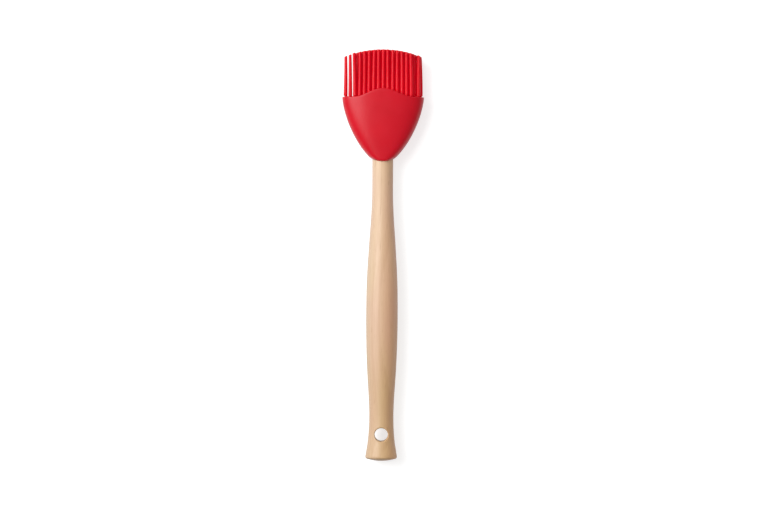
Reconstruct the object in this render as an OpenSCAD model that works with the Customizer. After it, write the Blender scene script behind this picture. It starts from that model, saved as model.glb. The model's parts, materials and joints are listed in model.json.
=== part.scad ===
// Pastry brush: a turned beech handle with a pull-off silicone head.
// The brush is designed standing on its butt, z along its length and its front facing -y,
// and then laid on its back, so that it lies on z = 0 with its front up and its bristles towards +y.

/* [Overall] */
// Length from the butt of the handle to the longest bristle tip
overall_len = 267; // [260:1:280]
// Thickness of the head, and diameter of the flared butt
overall_t = 20.6; // [20.5:0.1:21]

/* [Handle] */
// Diameter at the waist, just past the hanging hole
waist_d = 15.7; // [14:0.1:16.5]
// Diameter of the belly
belly_d = 20.5; // [18:0.1:20.5]
// Diameter of the neck that enters the head
neck_d = 13.5; // [12.6:0.1:13.6]
// Height of the domed butt face
butt_dome = 1.2; // [0.6:0.1:2]
// Diameter of the hanging hole
hang_hole_d = 8.6; // [6:0.1:9]
// Distance from the butt to the centre of the hanging hole
hang_hole_at = 17.1; // [14:0.1:18]
// Diameter of the tenon
tenon_d = 9.6; // [8.6:0.1:9.8]
// Distance between the two flats of the tenon
tenon_flats = 8.4; // [7.4:0.1:8.6]
// Length of the tenon
tenon_len = 26; // [18:0.5:26]

/* [Head] */
// Width of the head at its mouth
head_w = 53.2; // [53:0.1:56]
// Length of the shell, from its lip to the rim at its sides
shell_len = 41.6; // [41:0.1:44]
// How far the middle lobe of the rim stands above the sides
lobe_h = 5.6; // [0:0.1:5.8]
// Half the width of the lobe at its foot
lobe_half_w = 20; // [15:0.5:24]
// Wall thickness at the front and back of the mouth
front_wall = 1; // [0.9:0.05:1.05]
// Wall thickness at the two sides of the mouth
side_wall = 0.85; // [0.8:0.05:0.9]

/* [Bristles] */
// Bristles in the middle row
middle_row_count = 17; // [15,17]
// Spacing of the bristles along a row
bristle_pitch = 3.05; // [2.95:0.01:3.06]
// Spacing of the rows
row_pitch = 2.7; // [2.65:0.05:2.7]
// Diameter of a bristle at its root
root_d = 2.6; // [2.3:0.1:2.6]
// Diameter of a bristle at its tip
tip_d = 1.9; // [1.6:0.1:2.2]
// Radius of the arc that the bristle tips follow across the head
crown_r = 70; // [50:1:120]

/* [Hidden] */

$fn = 96;

wood = "burlywood";
nylon = "gainsboro";
red_silicone = "crimson";

// Lengths within the head: from lip to tips, from lip to the shoulder of the handle, how far the
// rows' pivots lie below the side rim, how far the carrier stands above the pivots, and its depth
head_len = 72.5;
neck_in_head = 4;
pivot_drop = 1;
carrier_rise = 0.65;
carrier_depth = 6;

// Heights along the brush, measured from the butt
lip_z = overall_len - head_len;
shoulder_z = lip_z + neck_in_head;
side_rim_z = lip_z + shell_len;
pivot_z = side_rim_z - pivot_drop;
carrier_top_z = pivot_z + carrier_rise;
carrier_bottom_z = carrier_top_z - carrier_depth;

// Handle
handle_step = 4;
butt_edge_r = 1.6;
butt_steps = 6;
neck_start_z = 176;
handle_stations = [
    [butt_dome + butt_edge_r, overall_t / 2],
    [9, waist_d / 2 + 1.35],
    [18, waist_d / 2 + 0.4],
    [28, waist_d / 2],
    [40, waist_d / 2 + 0.33],
    [58, belly_d / 2 - 0.93],
    [76, belly_d / 2 - 0.22],
    [95, belly_d / 2],
    [118, belly_d / 2 - 0.38],
    [143, neck_d / 2 + 1.67],
    [160, neck_d / 2 + 0.5],
    [neck_start_z, neck_d / 2]
];
tenon_chamfer = 0.8;

// Fits
running_gap = 0.05;
flat_gap = 0.08;
neck_gap = 0.15;
seat_gap = 0.1;
end_gap = 0.1;

// Core
core_wall = 1.4;
core_r = tenon_d / 2 + core_wall;
socket_spare = 0.8;
flange_t = 2;
flange_inset = 1.6;
wing_t = 2.2;
wing_inset = 5;
wing_z = lip_z + 13;
wing_steps = 6;
key_hole_r = 2.2;
key_hole_x = core_r + 4.2;
key_hole_drop = 7;

// Shell
ring_points = 72;
shell_rings = 22;
mouth_rings = 6;
carrier_rings = 3;
lip_round = 1.2;
lip_edge = 0.35;
lobe_step = 1;
// Share of the shell's length at which it reaches its full thickness
full_t_at = 0.8;
// How far below the lip the outline of the shell would close, and the two powers that shape it
lip_lead = 2.9;
side_curve = 1.54;
lip_bluntness = 0.66;
// Rounded corners of that outline beside the neck: width and height
lip_corner_w = 2.6;
lip_corner_h = 3.3;
// Power that draws the shell's rings together towards the lip
ring_crowding = 1.5;
// Powers of the shell's section: both squarer than an ellipse, the lip a little more than the mouth
lip_power = 2.8;
mouth_power = 2.5;

// Rows: how many bristles each has fewer than the middle one, and how many places it stands to the right
row_count = 5;
row_shortening = [4, 3, 0, 3, 4];
row_shift = [0, 1, 0, 1, 0];
bead_r = 1;
bead_overhang = 0.6;
web_t = 1;
web_h = 1.6;
root_start_h = 1.05;
root_start_r = 0.35;
root_full_h = 1.9;
tip_round = 0.35;
tip_arc_steps = 3;

// Smooth curve through [position, value] stations, flat at both ends
function slope(p, i) =
    i == 0 || i == len(p) - 1 ? 0 : (p[i + 1][1] - p[i - 1][1]) / (p[i + 1][0] - p[i - 1][0]);
function span(p, x, i = 0) = i >= len(p) - 2 || x < p[i + 1][0] ? i : span(p, x, i + 1);
function hermite(p, x) =
    let (
        i = span(p, x),
        w = p[i + 1][0] - p[i][0],
        t = (x - p[i][0]) / w,
        t2 = t * t,
        t3 = t2 * t
    )
    p[i][1] * (2 * t3 - 3 * t2 + 1) + p[i + 1][1] * (3 * t2 - 2 * t3)
    + w * (slope(p, i) * (t3 - 2 * t2 + t) + slope(p, i + 1) * (t3 - t2));

// Half width and half thickness of the shell at height s above its lip
function shell_half_w(s) =
    let (u = min(1, (s + lip_lead) / (shell_len + lip_lead)))
    head_w / 2 * pow(1 - pow(1 - u, side_curve), lip_bluntness) - rounding(s, lip_corner_w, lip_corner_h);
function rounding(s, w, h) = s >= h ? 0 : w * (1 - sqrt(1 - pow(1 - s / h, 2)));
function shell_half_t(s) =
    let (
        neck_half = neck_d / 2 + neck_gap + lip_edge + lip_round,
        swell = sin(90 * min(1, s / (full_t_at * shell_len)))
    )
    neck_half + (overall_t / 2 - neck_half) * swell - rounding(s, lip_round, lip_round);
// The sections go from round at the lip to squarer at the mouth
function shell_power(s) = lip_power + (mouth_power - lip_power) * min(1, s / shell_len);

function signed_pow(v, p) = sign(v) * pow(abs(v), p);
// Half a step of turn puts a flat at the front and back, which the brush lies on
function section(a, b, n, z) = [
    for (i = [0 : ring_points - 1])
        let (t = 360 * (i + 0.5) / ring_points)
        [a * signed_pow(cos(t), 2 / n), b * signed_pow(sin(t), 2 / n), z]
];

// Solid through a list of rings that all have ring_points points
module loft(rings) {
    n = ring_points;
    last = len(rings) - 1;
    polyhedron(
        points = [for (r = rings) each r],
        faces = concat(
            [[for (i = [0 : n - 1]) i]],
            [[for (i = [n - 1 : -1 : 0]) last * n + i]],
            [for (j = [0 : last - 1], i = [0 : n - 1])
                [j * n + i, (j + 1) * n + i, (j + 1) * n + (i + 1) % n]],
            [for (j = [0 : last - 1], i = [0 : n - 1])
                [j * n + i, (j + 1) * n + (i + 1) % n, j * n + (i + 1) % n]]
        ),
        convexity = 6
    );
}

// Part of the shell's body between two heights, with its surface moved inwards
module shell_body(from_s, to_s, side_in, front_in, rings) {
    loft([
        for (i = [0 : rings])
            let (s = from_s + (to_s - from_s) * pow(i / rings, ring_crowding))
            section(shell_half_w(s) - side_in, shell_half_t(s) - front_in, shell_power(s), lip_z + s)
    ]);
}

// From the standing design to the brush lying on its back
module lay_down() {
    translate([0, -overall_len / 2, overall_t / 2])
        rotate([-90, 0, 0])
            children();
}

// Tenon section: a circle with two flats, enlarged by the gaps
module tenon_section(round_gap, flats_gap) {
    intersection() {
        circle(r = tenon_d / 2 + round_gap);
        square([2 * tenon_d, tenon_flats + 2 * flats_gap], center = true);
    }
}

module handle_blank() {
    dome_r = overall_t / 2 - butt_edge_r;
    profile = concat(
        [[0, 0]],
        [for (i = [1 : butt_steps]) [dome_r * i / butt_steps, butt_dome * pow(i / butt_steps, 2)]],
        [for (i = [1 : butt_steps - 1])
            let (a = 90 * i / butt_steps)
            [dome_r + butt_edge_r * sin(a), butt_dome + butt_edge_r * (1 - cos(a))]],
        [for (z = [butt_dome + butt_edge_r : handle_step : neck_start_z - handle_step / 2])
            [hermite(handle_stations, z), z]],
        [[neck_d / 2, neck_start_z], [neck_d / 2, shoulder_z], [0, shoulder_z]]
    );
    rotate_extrude()
        polygon(profile);
}

module handle() {
    color(wood)
        lay_down() {
            difference() {
                handle_blank();
                translate([0, 0, hang_hole_at])
                    rotate([90, 0, 0])
                        cylinder(d = hang_hole_d, h = 2 * overall_t, center = true);
            }
            translate([0, 0, shoulder_z])
                intersection() {
                    linear_extrude(tenon_len)
                        tenon_section(0, 0);
                    union() {
                        cylinder(d = tenon_d + 1, h = tenon_len - tenon_chamfer);
                        translate([0, 0, tenon_len - tenon_chamfer])
                            cylinder(d1 = tenon_d, d2 = tenon_d - 2 * tenon_chamfer, h = tenon_chamfer);
                    }
                }
        }
}

// The core's outside: the socket's tube, two wings with key holes, and the flange under the bristles
module core_outside() {
    seat_z = shoulder_z + seat_gap;
    flange_s = carrier_bottom_z - lip_z;
    translate([0, 0, seat_z])
        cylinder(r = core_r, h = carrier_bottom_z - flange_t - seat_z);
    translate([0, 0, carrier_bottom_z - flange_t])
        linear_extrude(flange_t)
            polygon([
                for (p = section(shell_half_w(flange_s) - side_wall - flange_inset,
                                 shell_half_t(flange_s) - front_wall - flange_inset,
                                 shell_power(flange_s), 0))
                    [p[0], p[1]]
            ]);
    difference() {
        rotate([90, 0, 0])
            linear_extrude(wing_t, center = true)
                wing_outline();
        for (side = [-1, 1])
            translate([side * key_hole_x, 0, carrier_bottom_z - key_hole_drop])
                rotate([90, 0, 0])
                    cylinder(r = key_hole_r, h = 2 * wing_t, center = true);
    }
}

// Outline of the two wings, inside the outline of the shell
module wing_outline() {
    heights = [for (i = [0 : wing_steps]) wing_z + (carrier_bottom_z - flange_t - wing_z) * i / wing_steps];
    right = [for (z = heights) [shell_half_w(z - lip_z) - wing_inset, z]];
    left = [for (i = [wing_steps : -1 : 0]) [-right[i][0], right[i][1]]];
    polygon(concat(right, left));
}

module socket_core() {
    color(nylon)
        lay_down()
            difference() {
                core_outside();
                translate([0, 0, shoulder_z])
                    linear_extrude(tenon_len + socket_spare)
                        tenon_section(running_gap, flat_gap);
            }
}

// Everything above the rim: level at the sides, with a rounded lobe in the middle
module above_rim() {
    top_z = overall_len;
    reach = head_w;
    wave = [
        for (x = [-lobe_half_w : lobe_step : lobe_half_w])
            [x, side_rim_z + lobe_h * (1 + cos(180 * x / lobe_half_w)) / 2]
    ];
    rotate([90, 0, 0])
        linear_extrude(2 * overall_t, center = true)
            polygon(concat(
                [[-reach, side_rim_z]], wave, [[reach, side_rim_z], [reach, top_z], [-reach, top_z]]
            ));
}

module head_shell() {
    past_rim = lobe_h + 1;
    color(red_silicone)
        lay_down()
            difference() {
                shell_body(0, shell_len + past_rim, 0, 0, shell_rings);
                above_rim();
                shell_body(carrier_bottom_z - lip_z, shell_len + past_rim + 1,
                           side_wall, front_wall, mouth_rings);
                core_outside();
                translate([0, 0, lip_z - 1])
                    cylinder(r = neck_d / 2 + neck_gap, h = shoulder_z + seat_gap - lip_z + 1);
                translate([0, 0, shoulder_z])
                    cylinder(r = core_r - core_wall / 2, h = tenon_len + socket_spare);
            }
}

function row_bristles(k) = middle_row_count - row_shortening[k - 1];
function row_y(k) = (k - (row_count + 1) / 2) * row_pitch;
function row_x(k) = row_shift[k - 1] * bristle_pitch;
function bristle_x(k, i) = row_x(k) + (i - (row_bristles(k) - 1) / 2) * bristle_pitch;
function bead_len(k) = (row_bristles(k) - 1) * bristle_pitch + 2 * bead_overhang;
function tip_z(x) = overall_len - crown_r + sqrt(crown_r * crown_r - x * x);

// Round bar across the head, on the line that row k swings about
module bead(k, r, length) {
    translate([row_x(k), row_y(k), pivot_z])
        rotate([0, 90, 0])
            cylinder(r = r, h = length, center = true);
}

// Block that fills the mouth of the shell, with one snap-in groove for the bead of each row
module bristle_carrier() {
    color(red_silicone)
        lay_down()
            difference() {
                shell_body(carrier_bottom_z - lip_z, carrier_top_z - lip_z,
                           side_wall + running_gap, front_wall + running_gap, carrier_rings);
                for (k = [1 : row_count])
                    bead(k, bead_r + running_gap, bead_len(k) + 2 * end_gap);
            }
}

// One bristle, with a conical foot and a rounded tip
module bristle(height) {
    tip_r = tip_d / 2;
    rotate_extrude()
        polygon(concat(
            [[0, root_start_h], [root_start_r, root_start_h], [root_d / 2, root_full_h]],
            [for (i = [0 : tip_arc_steps])
                let (a = 90 * i / tip_arc_steps)
                [tip_r - tip_round * (1 - cos(a)), height - tip_round * (1 - sin(a))]],
            [[0, height]]
        ));
}

// A comb: one row of bristles on a thin web, which stands on a round bead
module bristle_row(k) {
    color(red_silicone)
        lay_down() {
            bead(k, bead_r, bead_len(k));
            translate([row_x(k) - bead_len(k) / 2, row_y(k) - web_t / 2, pivot_z])
                cube([bead_len(k), web_t, web_h]);
            for (i = [0 : row_bristles(k) - 1])
                translate([bristle_x(k, i), row_y(k), pivot_z])
                    bristle(tip_z(bristle_x(k, i)) - pivot_z);
        }
}

handle();
socket_core();
head_shell();
bristle_carrier();
for (k = [1 : row_count])
    bristle_row(k);
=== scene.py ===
import json
import math
import random

import bmesh
import bpy
import numpy as np
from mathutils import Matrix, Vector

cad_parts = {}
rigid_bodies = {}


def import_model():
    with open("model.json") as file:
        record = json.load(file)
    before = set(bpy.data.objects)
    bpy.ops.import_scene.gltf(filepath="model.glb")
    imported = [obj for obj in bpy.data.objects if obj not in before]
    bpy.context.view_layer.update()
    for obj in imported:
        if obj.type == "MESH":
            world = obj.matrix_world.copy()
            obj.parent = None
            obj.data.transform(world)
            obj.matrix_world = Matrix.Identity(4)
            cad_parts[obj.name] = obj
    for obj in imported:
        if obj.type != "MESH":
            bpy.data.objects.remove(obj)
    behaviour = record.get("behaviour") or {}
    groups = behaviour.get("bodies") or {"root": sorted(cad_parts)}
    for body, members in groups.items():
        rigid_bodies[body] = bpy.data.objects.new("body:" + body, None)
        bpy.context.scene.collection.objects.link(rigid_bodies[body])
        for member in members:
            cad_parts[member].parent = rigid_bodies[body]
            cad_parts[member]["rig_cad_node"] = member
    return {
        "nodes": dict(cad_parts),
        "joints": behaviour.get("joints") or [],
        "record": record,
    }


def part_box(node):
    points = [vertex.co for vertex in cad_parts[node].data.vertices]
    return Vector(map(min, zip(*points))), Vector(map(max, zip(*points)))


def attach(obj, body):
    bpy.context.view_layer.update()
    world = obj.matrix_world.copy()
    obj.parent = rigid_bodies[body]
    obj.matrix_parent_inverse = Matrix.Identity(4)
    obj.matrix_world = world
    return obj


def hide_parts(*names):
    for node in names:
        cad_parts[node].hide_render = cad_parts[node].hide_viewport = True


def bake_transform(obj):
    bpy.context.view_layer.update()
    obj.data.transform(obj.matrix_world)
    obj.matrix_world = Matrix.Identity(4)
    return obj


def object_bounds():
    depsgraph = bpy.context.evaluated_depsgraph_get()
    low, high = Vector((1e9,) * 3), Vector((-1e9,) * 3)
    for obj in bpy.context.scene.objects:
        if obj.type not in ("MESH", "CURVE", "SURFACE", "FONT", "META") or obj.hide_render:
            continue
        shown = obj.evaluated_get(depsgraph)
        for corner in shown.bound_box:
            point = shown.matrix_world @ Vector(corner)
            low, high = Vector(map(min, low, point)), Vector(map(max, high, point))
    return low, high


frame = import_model()
CAD_LO, CAD_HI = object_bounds()

# ---------------------------------------------------------------------------------------------
# Sizes. Shapes are worked out in millimetres: x across the brush, "along" from the butt of the
# handle towards the bristle tips, and "out" from the brush's middle plane towards its front.
# ---------------------------------------------------------------------------------------------
MM = 0.001
LENGTH = (CAD_HI.y - CAD_LO.y) / MM
HALF_T = (CAD_HI.z - CAD_LO.z) / MM / 2


def along_of(y_m):
    return (y_m - CAD_LO.y) / MM


def out_of(z_m):
    return z_m / MM - HALF_T


def box_mm(node):
    """Lowest and highest corner of a CAD node as (x, along, out), in millimetres."""
    lo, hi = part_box(node)
    return [(c.x / MM, along_of(c.y), out_of(c.z)) for c in (lo, hi)]


# Hanging hole
HOLE = next(m for m in frame["record"]["mounts"] if m["name"] == "hanging_hole")
HOLE_R = HOLE["dims"]["r_mm"]
HOLE_AT = along_of(HOLE["pos_m"][1])
HOLE_SOFTENING = 0.95

# Handle and its tenon
BUTT_DOME = 1.2
BUTT_EDGE_R = 1.6
SHOULDER_AT = 198.5
SHOULDER_EDGE = 0.3
TENON_R = 4.8
TENON_HALF_FLATS = 4.2
TENON_CHAMFER = 0.8
TENON_TOP = box_mm("handle")[1][1]

# Shell. Its outline tapers to a blunt lip with rounded corners, and its section is a squared ellipse
SHELL_LO, SHELL_HI = box_mm("head_shell")
HEAD_HALF_W = (SHELL_HI[0] - SHELL_LO[0]) / 2
LIP_AT = SHELL_LO[1]
LOBE_H = 5.6
LOBE_HALF_W = 20
SHELL_LEN = SHELL_HI[1] - LIP_AT - LOBE_H
NECK_BORE_R = 6.9
SOCKET_BORE_R = 5.5
LIP_HALF = 8.45
LIP_ROUND = 1.2
FULL_T_AT = 0.8
LIP_LEAD = 2.9
SIDE_CURVE = 1.54
LIP_BLUNTNESS = 0.66
LIP_CORNER_W = 2.6
LIP_CORNER_H = 3.3
LIP_POWER = 2.8
MOUTH_POWER = 2.5
SIDE_WALL = 0.85
FRONT_WALL = 1.0
CAVITY_FLOOR_AT = box_mm("bristle_carrier")[0][1]

# Rows of bristles, each on a web and a round bead at its pivot
PIVOTS = {j["child"]: j["pos_m"] for j in frame["joints"] if j["type"] == "hinge"}
PIVOT_AT = along_of(PIVOTS["row_3"][1])
PITCH = 3.05
ROOT_R = 1.3
TIP_R = 0.95
CROWN_R = 70
BEAD_R = 1.0
BEAD_OVERHANG = 0.6
WEB_HALF_T = 0.5
WEB_TOP = 1.6


def to_m(points):
    """(x, along, out) in millimetres to the row frame in metres."""
    p = np.asarray(points, float).reshape(-1, 3)
    return np.column_stack(
        [p[:, 0] * MM, CAD_LO.y + p[:, 1] * MM, CAD_LO.z + (HALF_T + p[:, 2]) * MM]
    )


# ---------------------------------------------------------------------------------------------
# Mesh helpers
# ---------------------------------------------------------------------------------------------
class Surface:
    """Collects rings of points and the quads between them, in millimetres."""

    def __init__(self):
        self.points = []
        self.faces = []

    def ring(self, points):
        first = len(self.points)
        self.points.extend(tuple(p) for p in points)
        return list(range(first, len(self.points)))

    def point(self, p):
        self.points.append(tuple(p))
        return len(self.points) - 1

    def join(self, a, b):
        """Quads between two closed rings of the same length."""
        n = len(a)
        for i in range(n):
            self.faces.append((a[i], a[(i + 1) % n], b[(i + 1) % n], b[i]))

    def cap(self, ring, middle):
        m = self.point(middle)
        n = len(ring)
        for i in range(n):
            self.faces.append((ring[i], ring[(i + 1) % n], m))

    def stack(self, rings):
        """Adds the rings and joins each to the next. Returns their indices."""
        made = [self.ring(r) for r in rings]
        for a, b in zip(made, made[1:]):
            self.join(a, b)
        return made


def new_object(name, surface, smooth_deg=38):
    mesh = bpy.data.meshes.new(name)
    mesh.from_pydata([tuple(p) for p in to_m(surface.points)], [], surface.faces)
    obj = bpy.data.objects.new(name, mesh)
    bpy.context.scene.collection.objects.link(obj)
    tidy_mesh(obj, smooth_deg)
    return obj


def tidy_mesh(obj, smooth_deg=38):
    """Welds, turns every normal outwards, and shades smooth except at real edges."""
    bm = bmesh.new()
    bm.from_mesh(obj.data)
    bmesh.ops.remove_doubles(bm, verts=bm.verts, dist=2e-7)
    loose = [v for v in bm.verts if not v.link_faces]
    bmesh.ops.delete(bm, geom=loose, context="VERTS")
    bmesh.ops.recalc_face_normals(bm, faces=bm.faces)
    bm.to_mesh(obj.data)
    bm.free()
    obj.data.shade_smooth()
    obj.data.set_sharp_from_angle(angle=math.radians(smooth_deg))
    obj.data.update()


def boolean(obj, tool, operation):
    """Applies a boolean of tool to obj, and removes tool unless it is a CAD node."""
    mod = obj.modifiers.new("cut", "BOOLEAN")
    mod.operation = operation
    mod.object = tool
    mod.solver = "EXACT"
    depsgraph = bpy.context.evaluated_depsgraph_get()
    made = bpy.data.meshes.new_from_object(obj.evaluated_get(depsgraph))
    obj.modifiers.remove(mod)
    obj.data = made
    if "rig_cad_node" not in tool:
        bpy.data.objects.remove(tool)


def keep_rest(obj):
    """Stores each point's place at rest, so that a texture stays put when the piece bends."""
    co = np.zeros(len(obj.data.vertices) * 3, np.float32)
    obj.data.vertices.foreach_get("co", co)
    rest = obj.data.attributes.new("rest", "FLOAT_VECTOR", "POINT")
    rest.data.foreach_set("vector", co)


# ---------------------------------------------------------------------------------------------
# Handle: one turned piece, with a softened hanging hole
# ---------------------------------------------------------------------------------------------
COLUMNS = 128
# The window is the patch of the turned surface that is cut out round the hole, in columns and rows
WINDOW_COLUMNS = 17
WINDOW_HALF = 6.3
WINDOW_ROWS = 18
PATCH_RINGS = 4
SOFTENING_RINGS = 6
BORE_RINGS = 10
RING_STEP = 1.3
BUTT_STEPS = 8
TENON_RINGS = 14


def turned_radii(node):
    """(along, radius) of the CAD handle's rings, up to its shoulder."""
    rings = {}
    for v in frame["nodes"][node].data.vertices:
        along = round(along_of(v.co.y), 2)
        rings.setdefault(along, []).append(math.hypot(v.co.x / MM, out_of(v.co.z)))
    return sorted(
        (along, max(rs)) for along, rs in rings.items() if len(rs) > COLUMNS / 4 and along < SHOULDER_AT
    )


def smooth_curve(stations):
    """A function through (place, value) stations with continuous slope, held at both ends."""
    x = np.array([s[0] for s in stations])
    y = np.array([s[1] for s in stations])
    slope = np.zeros(len(x))
    slope[1:-1] = (y[2:] - y[:-2]) / (x[2:] - x[:-2])

    def at(v):
        v = min(max(v, x[0]), x[-1])
        i = min(int(np.searchsorted(x, v, side="right")) - 1, len(x) - 2)
        w = x[i + 1] - x[i]
        t = (v - x[i]) / w
        return float(
            y[i] * (2 * t**3 - 3 * t**2 + 1)
            + y[i + 1] * (3 * t**2 - 2 * t**3)
            + w * (slope[i] * (t**3 - 2 * t**2 + t) + slope[i + 1] * (t**3 - t**2))
        )

    return at


def column_angle(c):
    """Angle of a column round the handle, from its front towards +x."""
    return 2 * math.pi * c / COLUMNS


def round_ring(radius, along):
    return [
        (radius * math.sin(column_angle(c)), along, radius * math.cos(column_angle(c)))
        for c in range(COLUMNS)
    ]


def tenon_ring(shrink, along):
    """A circle with a flat at the front and the back."""
    ring = []
    for c in range(COLUMNS):
        a = column_angle(c)
        flat = (TENON_HALF_FLATS - shrink) / max(abs(math.cos(a)), 1e-6)
        r = min(TENON_R - shrink, flat)
        ring.append((r * math.sin(a), along, r * math.cos(a)))
    return ring


def handle_rings(radius_at):
    """Rings from the butt to the tenon's end, and the index of the first ring of the hole's window."""
    edge_start = HALF_T - BUTT_EDGE_R
    rings = []
    for k in range(1, BUTT_STEPS + 1):
        f = k / BUTT_STEPS
        rings.append(round_ring(edge_start * f, BUTT_DOME * f**2))
    for k in range(1, BUTT_STEPS + 1):
        a = math.pi / 2 * k / BUTT_STEPS
        radius = edge_start + BUTT_EDGE_R * math.sin(a)
        rings.append(round_ring(radius, BUTT_DOME + BUTT_EDGE_R * (1 - math.cos(a))))
    first = BUTT_DOME + BUTT_EDGE_R
    window_lo, window_hi = HOLE_AT - WINDOW_HALF, HOLE_AT + WINDOW_HALF
    below = np.arange(first + RING_STEP, window_lo - RING_STEP / 2, RING_STEP)
    window = np.linspace(window_lo, window_hi, WINDOW_ROWS + 1)
    top = SHOULDER_AT - SHOULDER_EDGE
    count = int((top - window_hi) / RING_STEP)
    above = np.linspace(window_hi, top, count)[1:]
    rings += [round_ring(radius_at(a), a) for a in below]
    window_first = len(rings)
    rings += [round_ring(radius_at(a), a) for a in window]
    rings += [round_ring(radius_at(a), a) for a in above]
    neck_r = radius_at(top)
    rings.append(round_ring(neck_r - SHOULDER_EDGE / 3, SHOULDER_AT - SHOULDER_EDGE / 3))
    rings.append(round_ring(neck_r - SHOULDER_EDGE, SHOULDER_AT))
    rings.append(tenon_ring(0, SHOULDER_AT))
    tenon = np.linspace(SHOULDER_AT, TENON_TOP - TENON_CHAMFER, TENON_RINGS)[1:]
    rings += [tenon_ring(0, a) for a in tenon]
    rings.append(tenon_ring(TENON_CHAMFER, TENON_TOP))
    return rings, window_first


def window_loop(made, window_first, facing):
    """Closed loop of grid points round the hole. facing is 1 at the front and -1 at the back."""
    turn = 0 if facing > 0 else COLUMNS // 2

    def at(row, col):
        return made[window_first + row][(turn + facing * col) % COLUMNS]

    w, h = WINDOW_COLUMNS, WINDOW_ROWS
    loop = [at(0, c) for c in range(-w, w)]
    loop += [at(r, w) for r in range(h)]
    loop += [at(h, c) for c in range(w, -w, -1)]
    loop += [at(r, -w) for r in range(h, 0, -1)]
    return loop


def soften_hole(surface, loop, radius_at, facing):
    """Rings from the window's loop in to the hole's wall. Returns the last ring."""

    def on_surface(x, along):
        return math.sqrt(max(radius_at(along) ** 2 - x * x, 0))

    edge = [(surface.points[i][0], surface.points[i][1] - HOLE_AT) for i in loop]
    angles = [math.atan2(b, a) for a, b in edge]
    outer = HOLE_R + HOLE_SOFTENING
    last = loop
    for k in range(1, PATCH_RINGS + 1):
        f = k / PATCH_RINGS
        ring = []
        for (a, b), t in zip(edge, angles):
            x = a + (outer * math.cos(t) - a) * f
            along = HOLE_AT + b + (outer * math.sin(t) - b) * f
            ring.append((x, along, facing * on_surface(x, along)))
        ring = surface.ring(ring)
        surface.join(last, ring)
        last = ring
    for k in range(1, SOFTENING_RINGS + 1):
        a = math.pi / 2 * k / SOFTENING_RINGS
        r = HOLE_R + HOLE_SOFTENING * (1 - math.sin(a))
        sink = HOLE_SOFTENING * (1 - math.cos(a))
        ring = []
        for t in angles:
            x, along = r * math.cos(t), HOLE_AT + r * math.sin(t)
            ring.append((x, along, facing * (on_surface(x, along) - sink)))
        ring = surface.ring(ring)
        surface.join(last, ring)
        last = ring
    return last


def make_handle():
    """The turned surface with a window at each end of the hole, filled in by the hole's soft edge."""
    radius_at = smooth_curve(turned_radii("handle"))
    rings, window_first = handle_rings(radius_at)
    surface = Surface()
    made = []
    for ring in rings:
        made.append(surface.ring(ring))
    for i, (a, b) in enumerate(zip(made, made[1:])):
        in_window = window_first <= i < window_first + WINDOW_ROWS
        for c in range(COLUMNS):
            from_front = min(c, COLUMNS - 1 - c)
            from_back = min(abs(c - COLUMNS // 2), abs(c + 1 - COLUMNS // 2))
            if in_window and (from_front < WINDOW_COLUMNS or from_back < WINDOW_COLUMNS):
                continue
            d = (c + 1) % COLUMNS
            surface.faces.append((a[c], a[d], b[d], b[c]))
    surface.cap(made[0], (0, 0, 0))
    surface.cap(made[-1], (0, TENON_TOP, 0))
    front = soften_hole(surface, window_loop(made, window_first, 1), radius_at, 1)
    back = soften_hole(surface, window_loop(made, window_first, -1), radius_at, -1)
    last = front
    for k in range(1, BORE_RINGS):
        f = k / BORE_RINGS
        ring = surface.ring(
            np.array(surface.points[i]) * (1 - f) + np.array(surface.points[j]) * f
            for i, j in zip(front, back)
        )
        surface.join(last, ring)
        last = ring
    surface.join(last, back)
    return new_object("handle_turned", surface, 50)


# ---------------------------------------------------------------------------------------------
# Shell: a soft skirt with a wavy rounded rim, a cavity for the bristles and a bore for the neck
# ---------------------------------------------------------------------------------------------
SECTION_POINTS = 240
OUTER_RINGS = 64
RIM_STEPS = 8
CAVITY_RINGS = 8
# Power that draws the outer rings together at the lip, where the shell rounds in quickly
RING_CROWDING = 1.6
# How the neck's bore opens at the lip, as (extra radius, height above the lip)
BORE_MOUTH = [(1.0, -2), (0.35, -0.4), (0.12, 0.5), (0, 1.1)]
BORE_PAST_SHOULDER = 0.1
SOCKET_OPENING = 3


def rounding(s, w, h):
    """How far a rounded corner w wide and h high pulls the outline in at height s."""
    return 0.0 if s >= h else w * (1 - math.sqrt(1 - (1 - s / h) ** 2))


def half_w(s):
    """Half the shell's width at height s above the lip."""
    u = min(1.0, (s + LIP_LEAD) / (SHELL_LEN + LIP_LEAD))
    taper = (1 - (1 - u) ** SIDE_CURVE) ** LIP_BLUNTNESS
    return HEAD_HALF_W * taper - rounding(s, LIP_CORNER_W, LIP_CORNER_H)


def half_t(s):
    """Half the shell's thickness at height s above the lip."""
    swell = math.sin(math.pi / 2 * min(1.0, s / (FULL_T_AT * SHELL_LEN)))
    return LIP_HALF + (HALF_T - LIP_HALF) * swell - rounding(s, LIP_ROUND, LIP_ROUND)


def power(s):
    """Power of the shell's section at height s: 2 is an ellipse, more is squarer."""
    return LIP_POWER + (MOUTH_POWER - LIP_POWER) * min(1.0, s / SHELL_LEN)


def signed_pow(v, p):
    return math.copysign(abs(v) ** p, v)


def section_point(s, t, inward_x=0.0, inward_out=0.0):
    """Point of the shell's cross-section at height s above the lip and angle t."""
    n = power(s)
    x = (half_w(s) - inward_x) * signed_pow(math.cos(t), 2 / n)
    out = (half_t(s) - inward_out) * signed_pow(math.sin(t), 2 / n)
    return x, out


def rim_height(x):
    """Height of the rim above the lip, with its lobe in the middle."""
    lobe = (1 + math.cos(math.pi * x / LOBE_HALF_W)) / 2 if abs(x) < LOBE_HALF_W else 0
    return SHELL_LEN + LOBE_H * lobe


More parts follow.
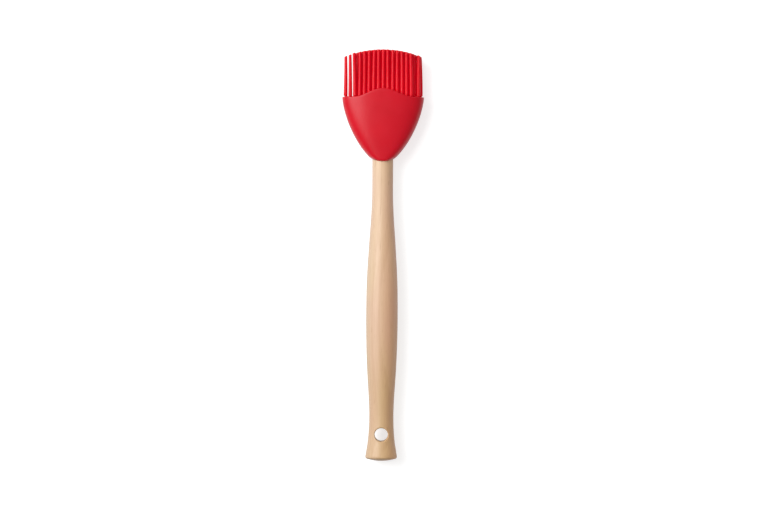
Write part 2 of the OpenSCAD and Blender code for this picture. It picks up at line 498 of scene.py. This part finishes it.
def section_angles():
    """Angles spaced so that the points lie evenly round the mouth."""
    fine = np.linspace(0, 2 * math.pi, 4001)
    xy = np.array([section_point(SHELL_LEN, t) for t in fine])
    run = np.concatenate([[0], np.cumsum(np.hypot(*np.diff(xy, axis=0).T))])
    even = np.linspace(0, run[-1], SECTION_POINTS, endpoint=False)
    return [float(np.interp(v, run, fine)) for v in even]


def make_shell():
    """Rings up the outside, over the rim and down the cavity, then the bore and the core cut out."""
    angles = section_angles()
    tops = []
    for t in angles:
        x = section_point(SHELL_LEN, t)[0]
        tops.append(rim_height(x))
    surface = Surface()
    rings = []
    r_edge = min(SIDE_WALL, FRONT_WALL) / 2
    for k in range(OUTER_RINGS + 1):
        f = (k / OUTER_RINGS) ** RING_CROWDING
        ring = []
        for t, top in zip(angles, tops):
            s = f * (top - r_edge)
            x, out = section_point(s, t)
            ring.append((x, LIP_AT + s, out))
        rings.append(ring)
    for k in range(1, RIM_STEPS + 1):
        a = math.pi * k / RIM_STEPS
        inward = (1 - math.cos(a)) / 2
        ring = []
        for t, top in zip(angles, tops):
            s = top - r_edge + r_edge * math.sin(a)
            x, out = section_point(min(s, top), t, SIDE_WALL * inward, FRONT_WALL * inward)
            ring.append((x, LIP_AT + s, out))
        rings.append(ring)
    floor_s = CAVITY_FLOOR_AT - LIP_AT
    for k in range(1, CAVITY_RINGS + 1):
        f = k / CAVITY_RINGS
        ring = []
        for t, top in zip(angles, tops):
            s = (top - r_edge) * (1 - f) + floor_s * f
            x, out = section_point(s, t, SIDE_WALL, FRONT_WALL)
            ring.append((x, LIP_AT + s, out))
        rings.append(ring)
    made = surface.stack(rings)
    surface.cap(made[0], (0, LIP_AT, 0))
    surface.cap(made[-1], (0, CAVITY_FLOOR_AT, 0))
    shell = new_object("head_skirt", surface, 50)
    boolean(shell, bore_tool(), "DIFFERENCE")
    boolean(shell, frame["nodes"]["socket_core"], "DIFFERENCE")
    tidy_mesh(shell, 40)
    return shell


def bore_tool():
    """The neck's bore with a softened mouth, and the way through to the core's socket."""
    neck_end = SHOULDER_AT + BORE_PAST_SHOULDER
    profile = [(NECK_BORE_R + extra, LIP_AT + above) for extra, above in BORE_MOUTH]
    profile += [
        (NECK_BORE_R, neck_end),
        (SOCKET_BORE_R, neck_end),
        (SOCKET_BORE_R, CAVITY_FLOOR_AT - SOCKET_OPENING),
    ]
    surface = Surface()
    made = surface.stack([round_ring(r, a) for r, a in profile])
    surface.cap(made[0], (0, profile[0][1], 0))
    surface.cap(made[-1], (0, profile[-1][1], 0))
    return new_object("bore_tool", surface)


# ---------------------------------------------------------------------------------------------
# Bristles
# ---------------------------------------------------------------------------------------------
BRISTLE_SIDES = 20
BRISTLE_STEPS = 20
# The foot of a bristle, inside the web: where it starts, swells and is full, as heights and radii
FOOT_START, FOOT_START_R = 1.05, 0.38
FOOT_SWELL, FOOT_SWELL_R = 1.5, 0.85
FOOT_FULL, FOOT_FULL_R = 1.9, 0.985 * ROOT_R
TIP_EDGE = 0.45
TIP_ARC_STEPS = 4
TIP_INSET = 0.02
BEAD_STEPS = 20
SEED = 700
HALF_ROW = 8 * PITCH
# How far each row's tips lean to one side, and how far its outermost tips gather inwards
ROW_DRIFT = {1: -0.05, 2: -0.1, 3: -0.1, 4: -0.15, 5: 0.0}
ROW_GATHER = {1: 0.5, 2: 0.4, 3: 0.35, 4: 0.5, 5: 0.5}
# The most that a tip leans by chance, and that a bristle bows: across the brush, and out of it
LEAN_ACROSS, LEAN_OUT = 0.25, 0.12
BOW_ACROSS, BOW_OUT = 0.1, 0.06
# Tips with a lean of their own instead of a chance one, as {(row, place): lean across}
STRAYS = {(1, 0): -1.1, (3, 0): -0.25, (3, 1): -0.45, (2, 13): 0.6, (3, 15): -0.2, (3, 16): 0.0}


def tip_at(x):
    """Where the bristles end: an arc over the head."""
    return LENGTH - TIP_INSET - CROWN_R + math.sqrt(CROWN_R**2 - x**2)


def add_bristle(surface, x0, out0, lean, bow):
    """One tapered bristle with a slight lean and bow. Its end is cut to the crown of the head."""
    height = tip_at(x0) - PIVOT_AT

    def centre(h):
        u = max(0.0, (h - FOOT_FULL) / (height - FOOT_FULL))
        bend = 4 * u * (1 - u)
        return x0 + lean[0] * u * u + bow[0] * bend, out0 + lean[1] * u * u + bow[1] * bend

    def ring(h, r, follow_crown):
        cx, co = centre(h)
        points = []
        for i in range(BRISTLE_SIDES):
            a = 2 * math.pi * i / BRISTLE_SIDES
            x = cx + r * math.sin(a)
            along = PIVOT_AT + h
            if follow_crown:
                along += (tip_at(x) - tip_at(cx)) * follow_crown
            points.append((x, along, co + r * math.cos(a)))
        return points

    rings = [
        ring(FOOT_START, FOOT_START_R, 0),
        ring(FOOT_SWELL, FOOT_SWELL_R, 0),
        ring(FOOT_FULL, FOOT_FULL_R, 0),
    ]
    body_top = height - TIP_EDGE
    for k in range(1, BRISTLE_STEPS + 1):
        f = k / BRISTLE_STEPS
        h = FOOT_FULL + (body_top - FOOT_FULL) * f
        rings.append(ring(h, ROOT_R + (TIP_R - ROOT_R) * f, f**4))
    for k in range(1, TIP_ARC_STEPS + 1):
        a = math.pi / 2 * k / TIP_ARC_STEPS
        rings.append(ring(body_top + TIP_EDGE * math.sin(a), TIP_R - TIP_EDGE * (1 - math.cos(a)), 1))
    made = surface.stack(rings)
    surface.cap(made[0], (x0, PIVOT_AT + FOOT_START, out0))
    cx, co = centre(height)
    surface.cap(made[-1], (cx, PIVOT_AT + height, co))


def comb_root(name, middle, half_len, out0):
    """The round bead of a comb, with the web that the bristles stand on, as one bar."""
    web_start = math.asin(WEB_HALF_T / BEAD_R)
    web_middle = (WEB_TOP + BEAD_R) / 2
    outline = [(WEB_HALF_T, WEB_TOP), (WEB_HALF_T, web_middle)]
    for k in range(BEAD_STEPS + 1):
        a = web_start + (2 * math.pi - 2 * web_start) * k / BEAD_STEPS
        outline.append((BEAD_R * math.sin(a), BEAD_R * math.cos(a)))
    outline += [(-WEB_HALF_T, web_middle), (-WEB_HALF_T, WEB_TOP)]
    surface = Surface()
    ends = []
    for x in (middle - half_len, middle + half_len):
        ends.append(surface.ring([(x, PIVOT_AT + h, out0 + o) for o, h in outline]))
    surface.join(ends[0], ends[1])
    for end in ends:
        surface.faces.append(tuple(end))
    return new_object(name, surface)


def make_row(k):
    """Row k as one comb. The CAD row's box gives its middle and its count of bristles."""
    rng = random.Random(SEED + k)
    out0 = out_of(PIVOTS[f"row_{k}"][2])
    lo, hi = box_mm(f"bristle_row_{k}")
    middle = (lo[0] + hi[0]) / 2
    count = round((hi[0] - lo[0] - 2 * ROOT_R) / PITCH) + 1
    surface = Surface()
    for i in range(count):
        x0 = middle + (i - (count - 1) / 2) * PITCH
        inward = -ROW_GATHER[k] * x0 / HALF_ROW
        chance = rng.uniform(-LEAN_ACROSS, LEAN_ACROSS)
        across = ROW_DRIFT[k] + inward + STRAYS.get((k, i), chance)
        lean = (across, rng.uniform(-LEAN_OUT, LEAN_OUT))
        bow = (rng.uniform(-BOW_ACROSS, BOW_ACROSS), rng.uniform(-BOW_OUT, BOW_OUT))
        add_bristle(surface, x0, out0, lean, bow)
    row = new_object(f"bristles_{k}", surface)
    half_len = (count - 1) / 2 * PITCH + BEAD_OVERHANG
    boolean(row, comb_root("comb_root", middle, half_len, out0), "UNION")
    tidy_mesh(row, 45)
    keep_rest(row)
    return row


# ---------------------------------------------------------------------------------------------
# Materials
# ---------------------------------------------------------------------------------------------
class Nodes:
    """A small helper that makes nodes and links them."""

    def __init__(self, name):
        self.mat = bpy.data.materials.new(name)
        self.mat.use_nodes = True
        self.tree = self.mat.node_tree
        self.tree.nodes.clear()
        self.out = self.make("ShaderNodeOutputMaterial")
        self.bsdf = self.make("ShaderNodeBsdfPrincipled")
        self.link(self.bsdf, "BSDF", self.out, "Surface")

    def make(self, kind, **values):
        node = self.tree.nodes.new(kind)
        for key, value in values.items():
            setattr(node, key, value)
        return node

    def link(self, a, a_socket, b, b_socket):
        self.tree.links.new(a.outputs[a_socket], b.inputs[b_socket])

    def place(self, stretch, attribute=None):
        """Coordinates of the piece at rest, in metres, multiplied by stretch."""
        if attribute:
            source, socket = self.make("ShaderNodeAttribute", attribute_name=attribute), "Vector"
        else:
            source, socket = self.make("ShaderNodeTexCoord"), "Object"
        mapping = self.make("ShaderNodeMapping")
        mapping.inputs["Scale"].default_value = stretch
        self.link(source, socket, mapping, "Vector")
        return mapping

    def noise(self, mapping, scale, detail=2.0, roughness=0.5, distortion=0.0):
        node = self.make("ShaderNodeTexNoise")
        node.inputs["Scale"].default_value = scale
        node.inputs["Detail"].default_value = detail
        node.inputs["Roughness"].default_value = roughness
        node.inputs["Distortion"].default_value = distortion
        self.link(mapping, "Vector", node, "Vector")
        return node

    def ramp(self, source, socket, stops):
        """Colours along a value. stops are (place, colour) pairs."""
        node = self.make("ShaderNodeValToRGB")
        elements = node.color_ramp.elements
        elements[0].position, elements[0].color = stops[0][0], (*stops[0][1], 1)
        elements[1].position, elements[1].color = stops[-1][0], (*stops[-1][1], 1)
        for place, colour in stops[1:-1]:
            elements.new(place).color = (*colour, 1)
        self.link(source, socket, node, "Fac")
        return node

    def spread(self, source, socket, from_lo, from_hi, to_lo, to_hi):
        """A value mapped from one range to another, and held at its ends."""
        node = self.make("ShaderNodeMapRange")
        for key, value in (
            ("From Min", from_lo), ("From Max", from_hi), ("To Min", to_lo), ("To Max", to_hi),
        ):
            node.inputs[key].default_value = value
        self.link(source, socket, node, "Value")
        return node

    def mix(self, factor, a, b, blend="MIX"):
        """Mix of two colours, as a (node, socket) pair. factor, a and b are such pairs or plain values."""
        node = self.make("ShaderNodeMix", data_type="RGBA", blend_type=blend)
        sockets = {"fac": node.inputs[0], "a": node.inputs[6], "b": node.inputs[7]}
        for key, value in (("fac", factor), ("a", a), ("b", b)):
            if isinstance(value, tuple) and hasattr(value[0], "outputs"):
                self.tree.links.new(value[0].outputs[value[1]], sockets[key])
            elif key == "fac":
                sockets[key].default_value = value
            else:
                sockets[key].default_value = (*value, 1)
        return node, 2

    def colour(self, source):
        self.tree.links.new(source[0].outputs[source[1]], self.bsdf.inputs["Base Color"])

    def bump(self, source, socket, strength, distance, after=None):
        node = self.make("ShaderNodeBump")
        node.inputs["Strength"].default_value = strength
        node.inputs["Distance"].default_value = distance
        self.link(source, socket, node, "Height")
        if after:
            self.link(after, "Normal", node, "Normal")
        return node


def silicone(name, light, dark, subsurface, specular, glow, texture, attribute=None):
    """Satin moulded silicone: a soft, slightly uneven red with a fine matt texture.

    glow is the strength of a weak painted glow that stands in for light scattered inside the translucent
    rubber, and texture is the strength of the bump. attribute names the stored rest position, for a piece
    that bends.
    """
    n = Nodes(name)
    still = n.place((1, 1, 1), attribute)
    cloudy = n.noise(still, 45, detail=3)
    n.colour((n.ramp(cloudy, "Fac", [(0.3, dark), (0.7, light)]), "Color"))
    fine = n.noise(still, 2600, detail=3, roughness=0.6)
    haze = n.noise(still, 160, detail=4)
    rough = n.mix(0.5, (fine, "Fac"), (haze, "Fac"))
    spread = n.spread(rough[0], rough[1], 0.3, 0.7, 0.3, 0.42)
    n.link(spread, "Result", n.bsdf, "Roughness")
    n.link(n.bump(fine, "Fac", texture, 0.00004), "Normal", n.bsdf, "Normal")
    n.bsdf.inputs["Specular IOR Level"].default_value = specular
    n.bsdf.inputs["IOR"].default_value = 1.41
    n.bsdf.inputs["Subsurface Weight"].default_value = subsurface
    n.bsdf.inputs["Subsurface Radius"].default_value = (1.0, 0.12, 0.08)
    n.bsdf.inputs["Subsurface Scale"].default_value = 0.0016
    # painted glow: a weak red emission standing in for light scattered inside the translucent rubber and
    # bounced between the bristles
    n.bsdf.inputs["Emission Color"].default_value = (1.0, 0.0, 0.02, 1)
    n.bsdf.inputs["Emission Strength"].default_value = glow
    return n.mat


# The lengths over which the wood's tone changes, in metres: along the handle and to each side
DARKENING_LEN = 0.2
REDDENING_HALF_W = 0.009


def beech():
    """Sanded beech. The grain is solid, so the butt shows end grain and the sides show fibres. Painted
    shade darkens the butt's domed end.
    """
    n = Nodes("beech")
    long_grain = n.place((1, 0.035, 1))
    short_grain = n.place((1, 0.12, 1))
    still = n.place((1, 1, 1))
    # growth rings of a log whose heart lies outside the handle
    wander = n.noise(long_grain, 70, detail=3)
    heart = n.make("ShaderNodeMapping")
    heart.inputs["Location"].default_value = (0.052, 0, 0.071)
    n.link(long_grain, "Vector", heart, "Vector")
    shift = n.make("ShaderNodeVectorMath", operation="MULTIPLY_ADD")
    shift.inputs[1].default_value = (0.006, 0.006, 0.006)
    n.link(wander, "Color", shift, 0)
    n.link(heart, "Vector", shift, 2)
    rings = n.make("ShaderNodeTexWave", wave_type="RINGS", rings_direction="Y", wave_profile="SAW")
    rings.inputs["Scale"].default_value = 95
    rings.inputs["Distortion"].default_value = 1.2
    rings.inputs["Detail"].default_value = 2
    rings.inputs["Detail Scale"].default_value = 1.5
    n.link(shift, "Vector", rings, "Vector")
    ring_tone = n.ramp(rings, "Fac", [
        (0.0, (0.868, 0.600, 0.363)),
        (0.55, (0.833, 0.560, 0.328)),
        (0.9, (0.750, 0.476, 0.268)),
        (1.0, (0.804, 0.530, 0.310)),
    ])
    # broad patches, from pinkish to straw
    patches = n.noise(n.place((1, 0.25, 1)), 38, detail=2)
    patch_tone = n.ramp(patches, "Fac", [(0.36, (0.916, 0.601, 0.446)), (0.64, (0.868, 0.672, 0.369))])
    tone = n.mix(0.62, (ring_tone, "Color"), (patch_tone, "Color"))
    # the wood darkens slowly from the neck to the butt, and painted shade darkens the butt's domed end
    split = n.make("ShaderNodeSeparateXYZ")
    n.link(still, "Vector", split, "Vector")
    along = n.spread(split, "Y", CAD_LO.y, CAD_LO.y + DARKENING_LEN, 0, 1)
    length_tone_and_butt_shade = n.ramp(along, "Result", [
        # the first two stops are painted shade on the domed end, which faces away from the light
        (0.0, (0.48, 0.36, 0.25)),
        (0.006, (0.52, 0.40, 0.29)),
        (0.011, (0.78, 0.71, 0.63)),
        (0.2, (0.755, 0.69, 0.60)),
        (0.55, (0.82, 0.775, 0.735)),
        (0.9, (0.87, 0.84, 0.88)),
        (1.0, (0.87, 0.84, 0.88)),
    ])
    tone = n.mix(1.0, tone, (length_tone_and_butt_shade, "Color"), "MULTIPLY")
    # and turns from a yellower tone at -x to a redder tone at +x
    across = n.spread(split, "X", -REDDENING_HALF_W, REDDENING_HALF_W, 0, 1)
    side_tone = n.ramp(across, "Result", [
        (0.0, (0.81, 0.90, 1.0)),
        (0.5, (0.84, 0.84, 0.82)),
        (1.0, (0.96, 0.80, 0.80)),
    ])
    tone = n.mix(1.0, tone, (side_tone, "Color"), "MULTIPLY")
    # fibres and the short dark flecks that beech has
    fibres = n.noise(long_grain, 1500, detail=4, roughness=0.65)
    fibre_tone = n.ramp(fibres, "Fac", [(0.32, (0.86, 0.83, 0.79)), (0.6, (1.0, 1.0, 1.0))])
    tone = n.mix(0.4, tone, (fibre_tone, "Color"), "MULTIPLY")
    flecks = n.noise(short_grain, 1150, detail=1, roughness=0.4)
    fleck_mask = n.spread(flecks, "Fac", 0.66, 0.78, 0, 0.3)
    tone = n.mix((fleck_mask, "Result"), tone, (0.36, 0.19, 0.095))
    n.colour(tone)
    rough = n.spread(fibres, "Fac", 0.3, 0.7, 0.56, 0.42)
    n.link(rough, "Result", n.bsdf, "Roughness")
    pores = n.bump(flecks, "Fac", 0.12, 0.0001)
    n.link(n.bump(fibres, "Fac", 0.16, 0.00008, after=pores), "Normal", n.bsdf, "Normal")
    n.bsdf.inputs["Specular IOR Level"].default_value = 0.6
    return n.mat


def nylon(name, light, dark):
    """Moulded nylon, with the faint sparkle of its texture."""
    n = Nodes(name)
    still = n.place((1, 1, 1))
    cloudy = n.noise(still, 120, detail=3)
    n.colour((n.ramp(cloudy, "Fac", [(0.3, dark), (0.7, light)]), "Color"))
    fine = n.noise(still, 3200, detail=2)
    spread = n.spread(fine, "Fac", 0.3, 0.7, 0.42, 0.58)
    n.link(spread, "Result", n.bsdf, "Roughness")
    n.link(n.bump(fine, "Fac", 0.25, 0.00004), "Normal", n.bsdf, "Normal")
    n.bsdf.inputs["IOR"].default_value = 1.53
    return n.mat


def dress(obj, material):
    obj.data.materials.clear()
    obj.data.materials.append(material)


# ---------------------------------------------------------------------------------------------
# The object
# ---------------------------------------------------------------------------------------------
# Both reds carry a weak painted glow. The bristles' stronger one stands in for light passed between them
SHELL_RED = silicone(
    "silicone_shell",
    light=(0.54, 0.003, 0.014),
    dark=(0.49, 0.002, 0.011),
    subsurface=0.1,
    specular=0.4,
    glow=0.03,
    texture=0.22,
)
BRISTLE_RED = silicone(
    "silicone_bristle",
    light=(0.54, 0.001, 0.009),
    dark=(0.48, 0.001, 0.007),
    subsurface=0.6,
    specular=0.3,
    glow=0.17,
    texture=0.08,
    attribute="rest",
)

handle = make_handle()
dress(handle, beech())
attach(handle, "handle")
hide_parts("handle")

skirt = make_shell()
dress(skirt, SHELL_RED)
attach(skirt, "head")
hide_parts("head_shell")

for k in range(1, len(PIVOTS) + 1):
    row = make_row(k)
    dress(row, BRISTLE_RED)
    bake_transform(row)
    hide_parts(f"bristle_row_{k}")

NYLON_RED = nylon("nylon_red", light=(0.42, 0.008, 0.016), dark=(0.36, 0.006, 0.012))
NYLON_NATURAL = nylon("nylon_natural", light=(0.76, 0.74, 0.70), dark=(0.70, 0.68, 0.63))
dress(frame["nodes"]["bristle_carrier"], NYLON_RED)
dress(frame["nodes"]["socket_core"], NYLON_NATURAL)

# ---------------------------------------------------------------------------------------------
# Stage, light and camera
# ---------------------------------------------------------------------------------------------
# The floor, in metres, with its grey and the glow that lifts it to the white of a photo studio
FLOOR_HALF = 6.0
FLOOR_GAP = 0.00005
FLOOR_GREY = 0.52
FLOOR_GLOW = 0.65
# Lights: places and sizes in metres, powers in watts. Each points at the middle of the brush
WORLD_STRENGTH = 0.43
KEY_PLACE, KEY_SIZE, KEY_WATTS = (-0.98, 0.5, 1.2), (1.2, 1.3), 31
FILL_PLACE, FILL_SIZE, FILL_WATTS = (0.25, 0.1, 1.7), (1.6, 1.6), 2.5
# Camera: straight above. The view's width is given in lengths of the brush
LENS = 200
SENSOR = 36
VIEW_WIDTH = 1.8606
CAMERA_ASIDE = (0.00016, 0.00013)
CAMERA_ROLL_DEG = 0.33
CLIP_END = 50


def make_floor():
    """A plain white sheet, left out of bounced light so that no red comes back into the shadow."""
    mesh = bpy.data.meshes.new("floor")
    h = FLOOR_HALF
    corners = [(-h, -h, 0), (h, -h, 0), (h, h, 0), (-h, h, 0)]
    mesh.from_pydata(corners, [], [(0, 1, 2, 3)])
    floor = bpy.data.objects.new("floor", mesh)
    floor.location.z = CAD_LO.z - FLOOR_GAP
    bpy.context.scene.collection.objects.link(floor)
    n = Nodes("paper_white")
    n.bsdf.inputs["Base Color"].default_value = (FLOOR_GREY, FLOOR_GREY, FLOOR_GREY, 1)
    n.bsdf.inputs["Roughness"].default_value = 0.9
    n.bsdf.inputs["Specular IOR Level"].default_value = 0.0
    n.bsdf.inputs["Emission Color"].default_value = (1, 1, 1, 1)
    n.bsdf.inputs["Emission Strength"].default_value = FLOOR_GLOW
    dress(floor, n.mat)
    floor.visible_diffuse = False


def area_light(name, place, size, watts):
    light = bpy.data.lights.new(name, "AREA")
    light.shape = "RECTANGLE"
    light.size, light.size_y = size
    light.energy = watts
    obj = bpy.data.objects.new(name, light)
    obj.location = place
    bpy.context.scene.collection.objects.link(obj)
    obj.rotation_euler = (-obj.location).to_track_quat("-Z", "Y").to_euler()
    obj.visible_camera = False
    return obj


def make_world():
    """Even white light from all round, left out of reflections so that the reds stay deep."""
    world = bpy.data.worlds.new("studio")
    world.use_nodes = True
    background = world.node_tree.nodes["Background"]
    background.inputs["Color"].default_value = (1, 1, 1, 1)
    background.inputs["Strength"].default_value = WORLD_STRENGTH
    world.cycles_visibility.glossy = False
    bpy.context.scene.world = world


def make_camera():
    data = bpy.data.cameras.new("camera")
    data.lens = LENS
    data.sensor_width = SENSOR
    data.clip_end = CLIP_END
    camera = bpy.data.objects.new("camera", data)
    middle = (CAD_LO + CAD_HI) / 2
    height = VIEW_WIDTH * LENGTH * MM * LENS / SENSOR
    camera.location = (middle.x + CAMERA_ASIDE[0], middle.y + CAMERA_ASIDE[1], middle.z + height)
    camera.rotation_euler = (0, 0, math.radians(CAMERA_ROLL_DEG))
    bpy.context.scene.collection.objects.link(camera)
    bpy.context.scene.camera = camera


make_floor()
make_world()
area_light("key", KEY_PLACE, KEY_SIZE, KEY_WATTS)
fill = area_light("fill", FILL_PLACE, FILL_SIZE, FILL_WATTS)
fill.visible_glossy = False
make_camera()
bpy.context.scene.view_settings.view_transform = "Standard"

bpy.context.view_layer.update()
